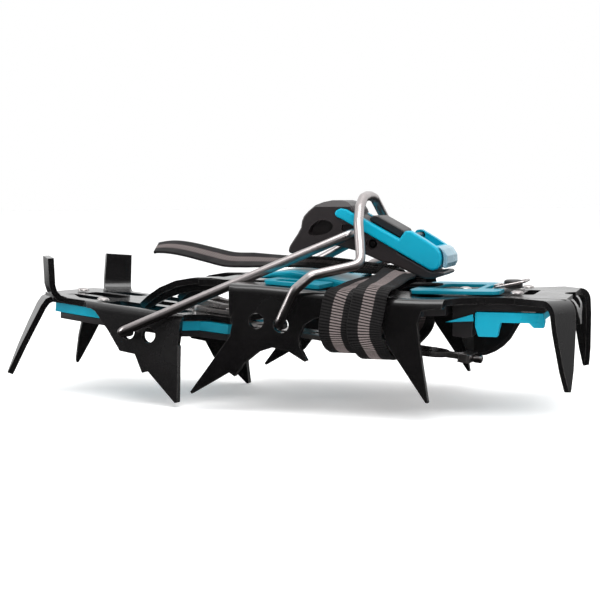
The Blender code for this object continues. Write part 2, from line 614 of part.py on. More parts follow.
pocket = prisms("lever_pockets", [(grown(band, GAP), "y", -14, -8.0), (grown(band, GAP), "y", 8.0, 14)],
                cutter=True)
boolean(lever, pocket, "DIFFERENCE")
bores = prisms("lever_bores", [(disc(px, pz, WIRE_R + GAP, 16), "y", -15, 15),
                               (disc(22.6, 56.0, 1.7, 12), "y", -15, 15)], cutter=True)
boolean(lever, bores, "DIFFERENCE")
drop = [(-3.3, 60.6), (-2.9, 59.5), (-1.3, 59.2), (2.0, 59.5), (4.9, 60.2), (6.7, 61.8), (7.0, 63.4),
        (5.6, 64.9), (2.9, 65.5), (0.4, 65.0), (-2.1, 63.0)]
rec = prisms("lever_recesses", [(drop, "y", -13, -6.5), (drop, "y", 6.5, 13)], cutter=True)
for side_name, a, b in (("near", -13, -9.2), ("far", 9.2, 13)):
    seat = prisms("lever_pin_seat_" + side_name, [(disc(22.6, 56.0, 2.3, 14), "y", a, b)],
                  cutter=True)
    boolean(lever, seat, "DIFFERENCE")
    wire_seat = prisms("lever_wire_seat_" + side_name,
                       [([(10.3, 61.6), (10.6, 63.6), (13.0, 63.9), (15.9, 62.6), (18.2, 60.3),
                          (15.9, 57.9), (12.4, 59.0)], "y", a, b)], cutter=True)
    boolean(lever, wire_seat, "DIFFERENCE")
boolean(lever, rec, "DIFFERENCE")
shoulders = bmesh.new()
for s in (-1, 1):
    loft(shoulders, [[(x, s * 7.4, 73.9), (x, s * 11.6, 70.0), (x, s * 14, 70.0), (x, s * 14, 80),
                      (x, s * 7.4, 80)] for x in (-12, 30)])
boolean(lever, finish(shoulders, "lever_shoulders", None, True), "DIFFERENCE")
insert = prisms("lever_insert", [(band, "y", -LEVER_HALF_W, LEVER_HALF_W)], turquoise)
bevel(insert, 0.7, 2, 40)
core = prisms("lever_insert_core", [(slot(-20, 33.4, -8.3, 8.3, 0.3), "z", 20, 90)], cutter=True)
trough = prisms("lever_insert_trough", [([(33.5, 80), (33.5, 58.6), (36, 57.8), (46.2, 51.5),
                                          (47.6, 53), (47.6, 80)], "y", -8.2, 8.2)], cutter=True)
boolean(insert, core, "DIFFERENCE")
boolean(insert, trough, "DIFFERENCE")
pins = prisms("lever_insert_bores", [(disc(38.2, 59.1, 1.4, 12), "y", -10.4, 10.4)], cutter=True)
boolean(insert, pins, "DIFFERENCE")
along = Vector((17.0, -9.4)).normalized()
upn = Vector((-along.y, along.x)) if along.x > 0 else Vector((along.y, -along.x))


def on_slope(s, h):
    p = Vector((20.0, 65.15)) + along * s + upn * h
    return (p.x, p.y)


slider = prisms("lever_slider", [([on_slope(0.7, 0.35), on_slope(0.4, 1.4), on_slope(1.2, 2.9),
                                   on_slope(3.0, 3.7), on_slope(13.8, 3.7), on_slope(14.8, 3.2),
                                   on_slope(14.9, 0.35)], "y", -7.6, 7.6)], dark_plastic)
bevel(slider, 0.5, 2, 40)
cap = prisms("lever_end_cap", [([(48.9, 55.3), (50.7, 54.1), (52.3, 51.6), (52.4, 48.8),
                                 (51.5, 46.9), (50.4, 47.3), (50.7, 49.0), (50.75, 50.8),
                                 (50.2, 53.2)], "y", -10.4, 10.4)], pale)
tail_pin = turned("lever_tail_pin", [(0.8, -10.1), (1.1, -9.8), (1.1, 9.8), (0.8, 10.1)],
                  (38.2, 0, 59.1), stainless, "y", 12)
cross_pin = turned("lever_cross_pin", [(1.1, -9.9), (1.4, -9.6), (1.4, 9.6), (1.1, 9.9)],
                   (22.6, 0, 56.0), stainless, "y", 12)

# ---------------------------------------------------------------- front clip
bracket = prisms("clip_bracket", [([(67.4, 37.8), (67.4, 38.6), (69.4, 38.7), (69.4, 40.6),
                                    (71.2, 40.6), (71.4, 38.7), (79.6, 38.6), (79.6, 37.8)],
                                   "y", -6.2, 6.2)], stainless)
bore = prisms("clip_bore", [(disc(70.3, 39.7, 0.75, 10), "y", -9, 9)], cutter=True)
boolean(bracket, bore, "DIFFERENCE")
loop_path = [(70.3, -5.0, 39.7), (70.3, -7.6, 39.7), (81.2, -6.4, 42.0), (81.2, 6.4, 42.0),
             (70.3, 7.6, 39.7), (70.3, 5.0, 39.7)]
loop = wire_piece("clip_loop", rounded_path(loop_path, 1.8, 4), 0.55, stainless, 2)
knob = turned("clip_knob", [(2.6, 0), (3.6, 0.4), (3.6, 2.9), (2.9, 3.4)], (76.0, 0, 38.9),
              dark_plastic, n=16)

# ---------------------------------------------------------------- plate rivets and screws
for i, (x, y) in enumerate(((-28.5, 13.5), (-28.5, -13.5), (57.5, 0), (79.6, 15), (79.6, -15),
                            (28.5, 20.8), (28.5, -20.8))):
    if i < 5:
        turned("front_rivet_%d" % (i + 1), head, (x, y, top_z(x) + GAP + 0.12), stainless, n=14)

# ---------------------------------------------------------------- ankle strap
W2, W1 = 29.7, 17.2    # middles of the two turns
wrap = [((34.2, -13.0, 45.1), (0.97, -0.04, -0.24)), ((34.0, -16.5, 44.9), (0.96, -0.12, -0.22)),
        ((33.7, -22, 44.2), (0.97, -0.2, -0.16)), ((33.2, -30, 43.0), (0.98, -0.15, -0.14)),
        ((32.8, -37, 42.1), (1, -0.06, -0.12)), ((32.2, -42.6, 41.5), (1, 0, -0.08)),
        ((31.5, -45.9, 39.4), (1, 0, 0)), ((30.8, -46.6, 35.8), (1, 0, 0)),
        ((29.9, -46.7, 31.5), (1, 0, 0)), ((29.2, -46.6, 27.5), (1, 0, 0)),
        ((29.2, -45.4, 23.2), (1, 0, 0)), ((30.2, -41.4, 18.7), (1, 0, 0)),
        ((30.0, -34, 15.3), (1, 0, 0)), ((W2, -24, 13.5), (1, 0, 0)),
        ((W2, -4, 13.4), (1, 0, 0)), ((W2, 14, 14.6), (1, 0, 0)), ((W2, 34, 17.0), (1, 0, 0)),
        ((W2, 43.5, 20.2), (1, 0, 0)), ((W2, 46.8, 25), (1, 0, 0)), ((W2, 47, 34), (1, 0, 0)),
        ((W2, 45.8, 39.2), (1, 0, 0)), ((29.2, 41.5, 41.6), (1, 0, 0)), ((27.0, 22, 42.1), (1, 0.1, 0)),
        ((24.6, 0, 42.4), (1, 0.12, 0)), ((23.0, -22, 41.9), (1, 0.08, 0)),
        ((21.9, -36, 40.7), (1, 0.06, 0)), ((21.1, -41.0, 40.1), (1, 0.04, 0)),
        ((20.2, -43.8, 38.4), (1, 0, 0)), ((19.2, -44.5, 35.2), (1, 0, 0)),
        ((18.5, -44.6, 31.5), (1, 0, 0)), ((17.9, -44.5, 28), (1, 0, 0)),
        ((17.5, -43.3, 24.4), (1, 0, 0)), ((17.6, -39.6, 20.4), (1, 0, 0)),
        ((17.4, -34, 17.6), (1, 0, 0)), ((W1, -24, 15.4), (1, 0, 0)),
        ((W1, -4, 15.1), (1, 0, 0)), ((W1, 16, 16.4), (1, 0, 0)), ((W1, 36, 19.6), (1, 0, 0)),
        ((W1, 44.6, 24), (1, 0, 0)), ((W1, 47, 31), (1, 0, 0)), ((W1, 46.4, 38), (1, 0, 0)),
        ((16.6, 42.8, 42.3), (1, 0, 0)), ((15.4, 34, 43.9), (1, 0, 0)), ((14.6, 26, 44.4), (1, 0, 0))]
bm = bmesh.new()
loft(bm, strip_rings([p for p, _ in wrap], [w for _, w in wrap], [WEB_W] * len(wrap), WEB_T))
strap = finish(bm, "strap_wraps", web)
tail = [(29.5, 0.8, 45.4, 8), (20, 0.6, 45.9, 13), (8, 0.4, 47.1, 17), (-2, 0.2, 48.1, 15),
        (-14, 0, 48.3, 14.5), (-23, 0, 48.5, 18), (-32, 0, 48.7, 23), (-41, 0, 48.9, 23),
        (-50, 0, 50.8, 22), (-59, 0, 52.8, 21), (-66, 0, 53.8, 20), (-71, 0, 53.8, 19),
        (-75.5, 0, 53.2, 18)]              # the last number is its lean toward the near side, degrees
bm = bmesh.new()
loft(bm, strip_rings([p[:3] for p in tail],
                     [(0, math.cos(math.radians(p[3])), math.sin(math.radians(p[3]))) for p in tail],
                     [WEB_W] * len(tail), WEB_T))
tail_o = finish(bm, "strap_tail", web)
flap = prisms("strap_flap", [([(36.5, -5.5), (44, -5.5), (47.6, -3.6), (48.6, 0), (47.6, 3.6),
                               (44, 5.5), (36.5, 5.5)], "z", 39.6, 40.3)], web)

# ------------------------------------------------------- origins and row frame


def set_origin(o, p):
    """A moving piece keeps its origin on its joint's axis."""
    o.data.transform(Matrix.Translation(-Vector(p) * M))
    o.location = Vector(p) * M


set_origin(bail, (HOLE_D[0], 0, HOLE_D[1]))
set_origin(lock, (46.0, 0, 3.2))
set_origin(loop, (70.3, 0, 39.7))
set_origin(wire, heel_point(HOLE_A[0], 0, HOLE_A[1]))
pivot = bpy.data.objects.new("heel_lever_axis", None)
PARTS.objects.link(pivot)
pivot.location = Vector((px, 0, pz)) * M
for o in [lever, insert, slider, cap, tail_pin, cross_pin] \
        + [c for c in CUTS.objects if c.name.startswith("lever_")]:
    o.parent = pivot
    o.location = o.location - pivot.location

row = bpy.data.objects.new("crampon_row", None)
PARTS.objects.link(row)
row.location = Vector((14.836, 0.0, 6.683)) * M   # middle of the whole in plan, lowest tips at 0
for o in list(PARTS.objects) + list(CUTS.objects):
    if o.parent is None and o is not row:
        o.parent = row
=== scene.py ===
# %% [markdown]
# # A crampon packed for the rucksack
# A crampon is a steel frame with points that straps under a mountaineering boot.
# Here its two halves lie nested in each other: the heel section under the front points, the
# wire bail folded back over the heel lever, and the ankle strap wound twice round the lot.
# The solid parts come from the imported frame, so each one is already at its true size and place.
# This script gives them their finishes, weaves the strap, and sets up a plain studio.

# %% The frame
import json
import math

import bmesh
import bpy
from mathutils import Matrix, Vector

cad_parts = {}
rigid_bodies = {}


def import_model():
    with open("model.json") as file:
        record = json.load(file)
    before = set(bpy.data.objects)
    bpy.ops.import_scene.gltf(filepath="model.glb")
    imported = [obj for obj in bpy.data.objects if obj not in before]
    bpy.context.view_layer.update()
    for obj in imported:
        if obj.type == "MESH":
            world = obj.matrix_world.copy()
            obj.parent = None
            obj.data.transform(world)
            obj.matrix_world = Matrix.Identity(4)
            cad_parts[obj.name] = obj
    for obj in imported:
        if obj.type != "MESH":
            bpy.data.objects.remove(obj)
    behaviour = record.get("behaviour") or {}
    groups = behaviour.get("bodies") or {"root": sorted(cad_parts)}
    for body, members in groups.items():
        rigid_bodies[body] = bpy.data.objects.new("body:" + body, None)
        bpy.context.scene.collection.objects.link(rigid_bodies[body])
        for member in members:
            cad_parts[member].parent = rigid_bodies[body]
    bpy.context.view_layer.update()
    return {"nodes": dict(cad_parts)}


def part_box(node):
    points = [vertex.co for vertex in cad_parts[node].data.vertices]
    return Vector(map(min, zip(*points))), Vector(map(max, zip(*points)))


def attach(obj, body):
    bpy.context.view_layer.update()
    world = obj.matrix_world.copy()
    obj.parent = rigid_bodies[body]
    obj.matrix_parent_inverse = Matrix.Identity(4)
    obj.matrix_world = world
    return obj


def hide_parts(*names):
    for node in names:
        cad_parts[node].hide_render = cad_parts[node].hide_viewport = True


for leftover in list(bpy.data.objects):
    bpy.data.objects.remove(leftover, do_unlink=True)

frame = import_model()
MM = 0.001
ROW_SHIFT = Vector((14.836, 0.0, 6.683))     # the part's drawing is this far from the row's origin


# %% [markdown]
# ## Camera
# The crampon is seen from a little above and from the right of square on, through a long lens,
# so its near and far flanges almost line up. A lens of about 72 mm on a 36 mm sensor, half a metre
# away, gives that flat, catalogue kind of perspective without cropping the points.

# %% Camera
CAMERA_AT = Vector((0.158327, -0.464645, 0.080520))
LOOKING = Vector((-0.313457, 0.945888, -0.083901))
LENS_MM = 72.32
ROLL = -0.006                                # radians
SENSOR_MM = 36.0
NEAREST, FARTHEST = 0.01, 60.0               # m that the camera sees between

camera_data = bpy.data.cameras.new("studio_camera")
camera_data.lens = LENS_MM
camera_data.sensor_width = SENSOR_MM
camera_data.clip_start, camera_data.clip_end = NEAREST, FARTHEST
camera = bpy.data.objects.new("studio_camera", camera_data)
bpy.context.scene.collection.objects.link(camera)
aim = LOOKING.to_track_quat("-Z", "Y").to_matrix().to_4x4()
camera.matrix_world = Matrix.Translation(CAMERA_AT) @ aim @ Matrix.Rotation(ROLL, 4, "Z")
bpy.context.scene.camera = camera
bpy.context.scene.view_settings.view_transform = "Standard"


# %% [markdown]
# ## Studio
# Black steel and bright wire only read well against something to reflect. A product studio
# has a white sweep behind the object and a big softbox above it, and is dark behind the camera.
# The world here does the same: bright at the back, dim at the front. Two area lamps are the
# softboxes and a third is a small fill card, and the floor is a wide pale disc, so that it has no
# edge in any view.

# %% Helpers for node trees
def node(tree, kind, **values):
    """A shader node, with settings by attribute name and inputs by socket name."""
    made = tree.nodes.new("ShaderNode" + kind)
    for key, value in values.items():
        name = key.replace("_", " ")
        if hasattr(made, key):
            setattr(made, key, value)
        else:
            made.inputs[name].default_value = value
    return made


def wire_up(tree, *pairs):
    """Joins sockets: each pair is an output and an input."""
    for source, target in pairs:
        tree.links.new(source, target)


print("helpers ready")

# %% World and lamps
SWEEP_BACK, SWEEP_FRONT = 0.95, 0.04          # brightness behind the crampon and behind the camera
OVERHEAD = 0.55                               # more light from straight above
SEEN_WHITE = 1.0                              # what the camera itself sees of the sweep
UNDER_DARK = 0.03                             # what shiny parts see of the ground
AIMED_AT = (0, 0, 0.03)                       # every lamp points at the middle of the crampon

world = bpy.data.worlds.new("white_sweep")
world.use_nodes = True
bpy.context.scene.world = world
wt = world.node_tree
wt.nodes.clear()
direction = node(wt, "TexCoord")
split = node(wt, "SeparateXYZ")
front_to_back = node(wt, "MapRange", From_Min=-0.6, From_Max=0.7,
                     To_Min=SWEEP_FRONT, To_Max=SWEEP_BACK)
overhead = node(wt, "MapRange", From_Min=0.1, From_Max=0.95, To_Min=0.0, To_Max=OVERHEAD)
total = node(wt, "Math", operation="ADD")
below = node(wt, "MapRange", From_Min=-0.12, From_Max=0.02, To_Min=UNDER_DARK, To_Max=1.0)
lit = node(wt, "Math", operation="MULTIPLY")
seen = node(wt, "LightPath")
pick = node(wt, "Mix")
pick.inputs[3].default_value = SEEN_WHITE
sky = node(wt, "Background", Color=(1, 1, 1, 1))
out = node(wt, "OutputWorld")
wire_up(wt, (direction.outputs["Generated"], split.inputs[0]),
        (split.outputs["Y"], front_to_back.inputs["Value"]),
        (split.outputs["Z"], overhead.inputs["Value"]),
        (front_to_back.outputs[0], total.inputs[0]), (overhead.outputs[0], total.inputs[1]),
        (split.outputs["Z"], below.inputs["Value"]), (total.outputs[0], lit.inputs[0]),
        (below.outputs[0], lit.inputs[1]), (lit.outputs[0], pick.inputs[2]),
        (seen.outputs["Is Camera Ray"], pick.inputs[0]),
        (pick.outputs[0], sky.inputs["Strength"]), (sky.outputs[0], out.inputs["Surface"]))


def softbox(name, at, size, watts):
    """A rectangular area lamp at a place in metres, turned toward the crampon."""
    lamp = bpy.data.lights.new(name, "AREA")
    lamp.shape = "RECTANGLE"
    lamp.size, lamp.size_y = size
    lamp.energy = watts
    held = bpy.data.objects.new(name, lamp)
    held.location = at
    held.rotation_euler = (Vector(AIMED_AT) - Vector(at)).to_track_quat("-Z", "Y").to_euler()
    bpy.context.scene.collection.objects.link(held)


softbox("top_softbox", (0.15, -0.25, 1.05), (1.1, 0.8), 11.0)
softbox("left_softbox", (-0.95, -0.45, 0.42), (0.5, 0.7), 4.0)
softbox("front_card", (0.55, -0.95, 0.55), (0.5, 0.35), 2.6)

# %% Floor
FLOOR_RADIUS = 9.0                            # m
FLOOR_DROP = 0.0002                           # m below the points, so that nothing flickers
PAPER_WHITE, PAPER_GLOW = 0.9, 0.24           # a lit table, white to its horizon
floor_mesh = bpy.data.meshes.new("floor")
fb = bmesh.new()
bmesh.ops.create_circle(fb, cap_ends=True, segments=96, radius=FLOOR_RADIUS)
fb.to_mesh(floor_mesh)
fb.free()
floor = bpy.data.objects.new("floor", floor_mesh)
floor.location.z = -FLOOR_DROP
bpy.context.scene.collection.objects.link(floor)
floor.visible_glossy = False                  # black steel shows the dark studio, not the paper
paper = bpy.data.materials.new("pale_paper")
paper.use_nodes = True
paper_skin = paper.node_tree.nodes["Principled BSDF"]
paper_skin.inputs["Base Color"].default_value = (PAPER_WHITE, PAPER_WHITE, PAPER_WHITE, 1)
paper_skin.inputs["Roughness"].default_value = 0.85
paper_skin.inputs["Emission Color"].default_value = (1, 1, 1, 1)
paper_skin.inputs["Emission Strength"].default_value = PAPER_GLOW
paper_skin.inputs["Specular IOR Level"].default_value = 0.1
floor_mesh.materials.append(paper)
print("floor radius, m:", FLOOR_RADIUS)


# %% [markdown]
# ## Effects that several finishes share
# Real surfaces are never even: coated steel has a fine orange-peel, its edges rub through to bare
# metal, moulded plastic has a matt grain and faint flow marks, and drawn wire keeps long scratches.
# Each of these effects is one node group with named inputs, so a finish only sets how much of it
# it wants. A group gives out masks and heights; the shader itself stays in each material.

# %% Node groups
def effect(name, inputs, outputs):
    """An empty node group with float inputs {name: default} and named float outputs."""
    tree = bpy.data.node_groups.new(name, "ShaderNodeTree")
    for socket, value in inputs.items():
        made = tree.interface.new_socket(socket, in_out="INPUT", socket_type="NodeSocketFloat")
        made.default_value = value
    for socket in outputs:
        tree.interface.new_socket(socket, in_out="OUTPUT", socket_type="NodeSocketFloat")
    return tree, tree.nodes.new("NodeGroupInput"), tree.nodes.new("NodeGroupOutput")


def placed(tree, group, **values):
    """A node group placed in a material, with its inputs set."""
    made = tree.nodes.new("ShaderNodeGroup")
    made.node_tree = group
    for key, value in values.items():
        made.inputs[key].default_value = value
    return made


# fine grain: two sizes of noise, as a height and as a slow mask
grain, g_in, g_out = effect("fine_grain", {"Scale": 1500.0, "Patch": 60.0}, ["Height", "Mask"])
where = node(grain, "TexCoord")
fine = node(grain, "TexNoise", Detail=3.0, Roughness=0.6)
slow = node(grain, "TexNoise", Detail=4.0, Roughness=0.55)
wire_up(grain, (where.outputs["Object"], fine.inputs["Vector"]),
        (where.outputs["Object"], slow.inputs["Vector"]),
        (g_in.outputs["Scale"], fine.inputs["Scale"]), (g_in.outputs["Patch"], slow.inputs["Scale"]),
        (fine.outputs[0], g_out.inputs["Height"]), (slow.outputs[0], g_out.inputs["Mask"]))

# edge wear: where a rounded normal leaves the true one, broken up by noise
wear, w_in, w_out = effect("edge_wear", {"Width": 0.00035, "Amount": 1.0, "Break_up": 260.0},
                           ["Mask"])
flat_way = node(wear, "NewGeometry")
round_way = node(wear, "Bevel")
round_way.samples = 4
agree = node(wear, "VectorMath", operation="DOT_PRODUCT")
sharp = node(wear, "MapRange", From_Min=0.985, From_Max=0.86, To_Min=0.0)
spot = node(wear, "TexCoord")
chip = node(wear, "TexNoise", Detail=5.0, Roughness=0.7)
gate = node(wear, "MapRange", From_Min=0.38, From_Max=0.56, To_Min=0.15, To_Max=1.0)
product = node(wear, "Math", operation="MULTIPLY")
wire_up(wear, (w_in.outputs["Width"], round_way.inputs["Radius"]),
        (flat_way.outputs["Normal"], agree.inputs[0]), (round_way.outputs[0], agree.inputs[1]),
        (agree.outputs["Value"], sharp.inputs["Value"]), (w_in.outputs["Amount"], sharp.inputs["To Max"]),
        (spot.outputs["Object"], chip.inputs["Vector"]),
        (w_in.outputs["Break_up"], chip.inputs["Scale"]), (chip.outputs[0], gate.inputs["Value"]),
        (sharp.outputs[0], product.inputs[0]), (gate.outputs[0], product.inputs[1]),
        (product.outputs[0], w_out.inputs["Mask"]))

# scratches: thin threads of stretched noise in two directions
scratch, s_in, s_out = effect("handling_scratches", {"Scale": 90.0, "Amount": 0.06}, ["Mask"])
place_of = node(scratch, "TexCoord")
lines = []
for turn in (0.5, 2.1):
    turned_to = node(scratch, "Mapping")
    turned_to.inputs["Rotation"].default_value = (0.3, turn, turn * 0.7)
    turned_to.inputs["Scale"].default_value = (1.0, 14.0, 14.0)
    threads = node(scratch, "TexNoise", Detail=1.0, Roughness=0.4)
    thin = node(scratch, "Math", operation="SUBTRACT")
    thin.inputs[1].default_value = 0.5
    near = node(scratch, "Math", operation="ABSOLUTE")
    cut = node(scratch, "MapRange", From_Min=0.0, From_Max=0.012, To_Min=1.0, To_Max=0.0)
    wire_up(scratch, (place_of.outputs["Object"], turned_to.inputs["Vector"]),
            (turned_to.outputs[0], threads.inputs["Vector"]),
            (s_in.outputs["Scale"], threads.inputs["Scale"]), (threads.outputs[0], thin.inputs[0]),
            (thin.outputs[0], near.inputs[0]), (near.outputs[0], cut.inputs["Value"]))
    lines.append(cut)
both = node(scratch, "Math", operation="MAXIMUM")
less = node(scratch, "Math", operation="MULTIPLY")
wire_up(scratch, (lines[0].outputs[0], both.inputs[0]), (lines[1].outputs[0], both.inputs[1]),
        (both.outputs[0], less.inputs[0]), (s_in.outputs["Amount"], less.inputs[1]),
        (less.outputs[0], s_out.inputs["Mask"]))
print("effects:", [g.name for g in bpy.data.node_groups])


# %% [markdown]
# ## Finishes
# A finish mixes two colours by a mask, lets its roughness wander between two values, and takes a
# shallow bump from a height. One function can make all of them, because they differ only in
# numbers. What is the same all over a surface is set straight on the shader.

# %% The finish builder
def finish_of(name, colour, second, rough, bump, grain_scale=1500.0, patch=60.0, metallic=0.0,
              worn=None, rubbed=(0.00035, 0.6), scratched=0.0, **even):
    """A procedural material. colour and second: even and patchy base; rough: (low, high);
    worn: colour of rubbed edges, or None; rubbed: their width in metres and their strength;
    scratched: how much the scratches show; even: plain values for the shader's sockets."""
    mat = bpy.data.materials.new(name)
    mat.use_nodes = True
    tree = mat.node_tree
    skin = tree.nodes["Principled BSDF"]
    skin.inputs["Metallic"].default_value = metallic
    for key, value in even.items():
        skin.inputs[key.replace("_", " ")].default_value = value
    texture = placed(tree, grain, Scale=grain_scale, Patch=patch)
    wide = node(tree, "MapRange", From_Min=0.35, From_Max=0.65)
    tint = node(tree, "Mix", data_type="RGBA")
    tint.inputs[6].default_value = (*colour, 1)
    tint.inputs[7].default_value = (*second, 1)
    gloss = node(tree, "MapRange", From_Min=0.3, From_Max=0.7, To_Min=rough[0], To_Max=rough[1])
    relief = node(tree, "Bump", Strength=bump[0], Distance=bump[1])
    wire_up(tree, (texture.outputs["Mask"], wide.inputs["Value"]),
            (wide.outputs[0], tint.inputs[0]), (texture.outputs["Mask"], gloss.inputs["Value"]),
            (texture.outputs["Height"], relief.inputs["Height"]),
            (relief.outputs[0], skin.inputs["Normal"]))
    paint, shine = tint.outputs[2], gloss.outputs[0]
    if worn:
        rub = placed(tree, wear, Width=rubbed[0], Amount=rubbed[1])
        mark = rub.outputs["Mask"]
        if scratched:
            marks = placed(tree, scratch, Amount=scratched)
            higher = node(tree, "Math", operation="MAXIMUM")
            wire_up(tree, (mark, higher.inputs[0]), (marks.outputs["Mask"], higher.inputs[1]))
            mark = higher.outputs[0]
        bare = node(tree, "Mix", data_type="RGBA")
        bare.inputs[7].default_value = (*worn, 1)
        wire_up(tree, (paint, bare.inputs[6]), (mark, bare.inputs[0]))
        paint = bare.outputs[2]
    wire_up(tree, (paint, skin.inputs["Base Color"]), (shine, skin.inputs["Roughness"]))
    return mat


FINISHES = {
    # steel sheet under a glossy black coat, rubbed thin on its cut edges
    "black_coat": finish_of("black_coat", (0.0035, 0.0033, 0.0036), (0.0055, 0.005, 0.0053),
                            (0.16, 0.3), (0.12, 0.00005), 1300.0, 40.0,
                            worn=(0.16, 0.15, 0.145), rubbed=(0.0003, 0.55), scratched=0.035,
                            Specular_IOR_Level=0.5, Coat_Weight=0.35, Coat_Roughness=0.12),
    "drawn_wire": finish_of("drawn_wire", (0.45, 0.415, 0.412), (0.38, 0.35, 0.348),
                            (0.26, 0.36), (0.06, 0.00002), 2200.0, 120.0, metallic=1.0,
                            worn=(0.6, 0.57, 0.565), rubbed=(0.0002, 0.2), scratched=0.12),
    "stamped_steel": finish_of("stamped_steel", (0.52, 0.49, 0.48), (0.4, 0.375, 0.37),
                               (0.22, 0.4), (0.15, 0.00004), 1700.0, 90.0, metallic=1.0,
                               worn=(0.78, 0.76, 0.75), rubbed=(0.0003, 0.6), scratched=0.3),
    "burnished_pin": finish_of("burnished_pin", (0.05, 0.046, 0.047), (0.03, 0.028, 0.028),
                               (0.3, 0.45), (0.15, 0.00004), 1700.0, 90.0, metallic=1.0,
                               worn=(0.2, 0.19, 0.19), rubbed=(0.0003, 0.4)),
    "turquoise_shell": finish_of("turquoise_shell", (0.0005, 0.37, 0.53), (0.0005, 0.33, 0.48),
                                 (0.26, 0.38), (0.08, 0.00003), 2600.0, 70.0,
                                 worn=(0.01, 0.47, 0.6), rubbed=(0.0004, 0.3), scratched=0.02,
                                 Specular_IOR_Level=0.25),
    "turquoise_pad": finish_of("turquoise_pad", (0.0008, 0.27, 0.37), (0.0005, 0.2, 0.29),
                               (0.26, 0.42), (0.12, 0.00005), 1900.0, 50.0,
                               worn=(0.01, 0.36, 0.46), rubbed=(0.0004, 0.3), scratched=0.03,
                               Specular_IOR_Level=0.25),
    "lever_grey": finish_of("lever_grey", (0.028, 0.022, 0.0228), (0.021, 0.017, 0.0178),
                            (0.34, 0.46), (0.22, 0.00006), 2400.0, 80.0,
                            worn=(0.11, 0.09, 0.09), rubbed=(0.0005, 0.45)),
    "slider_grey": finish_of("slider_grey", (0.02, 0.016, 0.017), (0.015, 0.0125, 0.013),
                             (0.38, 0.5), (0.25, 0.00006), 2000.0, 80.0,
                             worn=(0.08, 0.065, 0.065), rubbed=(0.0004, 0.4)),
    "plate_grey": finish_of("plate_grey", (0.02, 0.018, 0.019), (0.013, 0.0115, 0.0125),
                            (0.28, 0.46), (0.22, 0.00006), 1600.0, 45.0,
                            worn=(0.08, 0.072, 0.072), rubbed=(0.0004, 0.4), scratched=0.04),
    "soft_black": finish_of("soft_black", (0.004, 0.0038, 0.004), (0.007, 0.0065, 0.007),
                            (0.26, 0.42), (0.2, 0.00006), 1500.0, 60.0,
                            worn=(0.04, 0.038, 0.038), rubbed=(0.0005, 0.4)),
    "pale_end": finish_of("pale_end", (0.26, 0.42, 0.5), (0.2, 0.35, 0.43),
                          (0.22, 0.34), (0.15, 0.00004), 2200.0, 80.0,
                          worn=(0.6, 0.7, 0.75), rubbed=(0.0005, 0.5)),
}
print("finishes:", sorted(FINISHES))


# %% [markdown]
# ## Solid parts
# Every steel and plastic part keeps its CAD shape. Straight from CAD the faces are flat and the
# corners razor sharp, which no light can catch. A small stack of modifiers mends that without
# touching the mesh: the corners are welded, the faces shaded smooth, a fine bevel rounds each
# edge, and weighted normals keep the flats flat. The round wires are subdivided instead.

# %% Modifier stack for solid parts
WELD_DISTANCE = 1e-6                          # m
SHARP, GENTLE = 32.0, 9.0                     # degrees: what counts as an edge to round
FLATNESS = 60                                 # how strongly large faces keep their own normals

smooth_all = bpy.data.node_groups.new("weld_and_smooth", "GeometryNodeTree")
smooth_all.interface.new_socket("Geometry", in_out="INPUT", socket_type="NodeSocketGeometry")
smooth_all.interface.new_socket("Geometry", in_out="OUTPUT", socket_type="NodeSocketGeometry")
steps = [smooth_all.nodes.new(k) for k in (
    "NodeGroupInput", "GeometryNodeRemoveAttribute", "GeometryNodeMergeByDistance",
    "GeometryNodeSetShadeSmooth", "NodeGroupOutput")]
steps[1].inputs["Name"].default_value = "custom_normal"
steps[2].inputs["Distance"].default_value = WELD_DISTANCE
for a, b in zip(steps, steps[1:]):
    smooth_all.links.new(a.outputs[0], b.inputs[0])


def soften(part, width_mm, angle=SHARP, segments=2):
    """Welds, smooths and bevels a CAD part by modifiers only. A part with no bevel width is a
    round wire, and is subdivided instead."""
    weld = part.modifiers.new("weld_and_smooth", "NODES")
    weld.node_group = smooth_all
    if width_mm is None:
        rounder = part.modifiers.new("round_bends", "SUBSURF")
        rounder.levels = rounder.render_levels = 2
        return
    edge = part.modifiers.new("edge_rounding", "BEVEL")
    edge.width = width_mm * MM
    edge.segments = segments
    edge.limit_method = "ANGLE"
    edge.angle_limit = math.radians(angle)
    edge.use_clamp_overlap = True
    edge.miter_outer = "MITER_ARC"
    flat = part.modifiers.new("even_normals", "WEIGHTED_NORMAL")
    flat.keep_sharp = False
    flat.weight = FLATNESS


